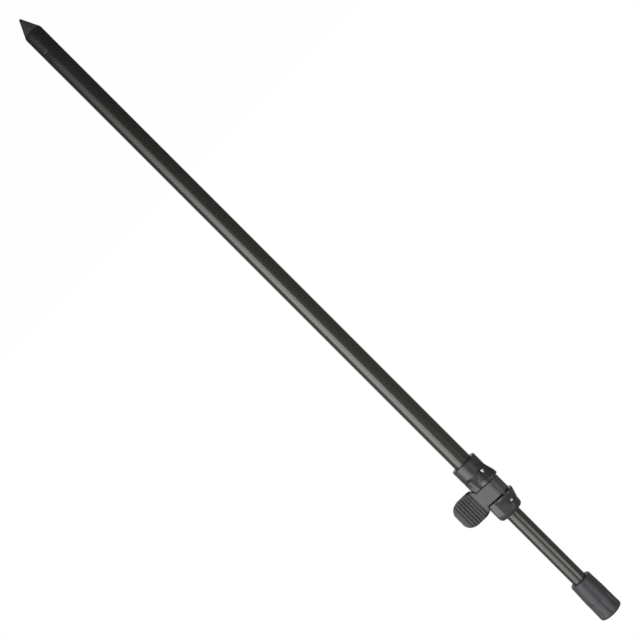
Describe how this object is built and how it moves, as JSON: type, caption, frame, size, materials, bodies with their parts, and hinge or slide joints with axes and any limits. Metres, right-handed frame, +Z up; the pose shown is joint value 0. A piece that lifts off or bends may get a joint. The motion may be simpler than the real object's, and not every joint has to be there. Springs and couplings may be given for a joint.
{
  "type": "telescopic bank stick",
  "caption": "Straight telescopic bank stick: a spiked ground tube, a side cam-lever clamp and a sliding inner tube with a threaded head for a rod rest.",
  "frame": {"origin": "tip of the ground spike, on the stick's axis", "axes": "+Z up along the stick to the threaded head, +X towards the cam lever's finger paddle, -Y the side that the lever swings out to and the pivot pin is on"},
  "size_m": [0.0479, 0.0271, 0.6524],
  "materials": {
    "tube_black": "satin",
    "spike_black": "satin",
    "clamp_grey": "satin",
    "lever_grey": "satin",
    "head_grey": "satin",
    "polished_steel": "polished",
    "insert_brass": "satin",
    "nylon_black": "matte",
    "ring_rubber": "matte"
  },
  "bodies": {
    "outer": {"spike_point": "spike_black", "outer_tube": "tube_black", "guide_bush": "nylon_black", "clamp_housing": "clamp_grey", "clamp_liner": "nylon_black", "brake_shoe": "nylon_black", "collar_bush": "nylon_black", "pivot_pin": "polished_steel", "lever_washer_lower": "nylon_black", "lever_washer_upper": "nylon_black"},
    "lever": {"cam_lever": "lever_grey"},
    "slider": {"tail_bush": "nylon_black", "tail_o_ring": "ring_rubber"},
    "mast": {"inner_tube": "tube_black", "tail_plug": "nylon_black", "tail_washer": "polished_steel", "tail_screw": "polished_steel", "head_knob": "head_grey", "head_insert": "insert_brass"}
  },
  "joints": [
    {"name": "mast_slide", "type": "slide", "parent": "outer", "child": "slider", "axis": [0, 0, 1], "range_m": [-0.0743, 0.34]},
    {"name": "mast_spin", "type": "hinge", "parent": "slider", "child": "mast", "pos_m": [0, 0, 0.134], "axis": [0, 0, 1], "continuous": true},
    {"name": "lever_turn", "type": "hinge", "parent": "outer", "child": "lever", "pos_m": [-0.00659, -0.00988, 0.51795], "axis": [0, 0, 1], "range_deg": [-80, 0]}
  ]
}
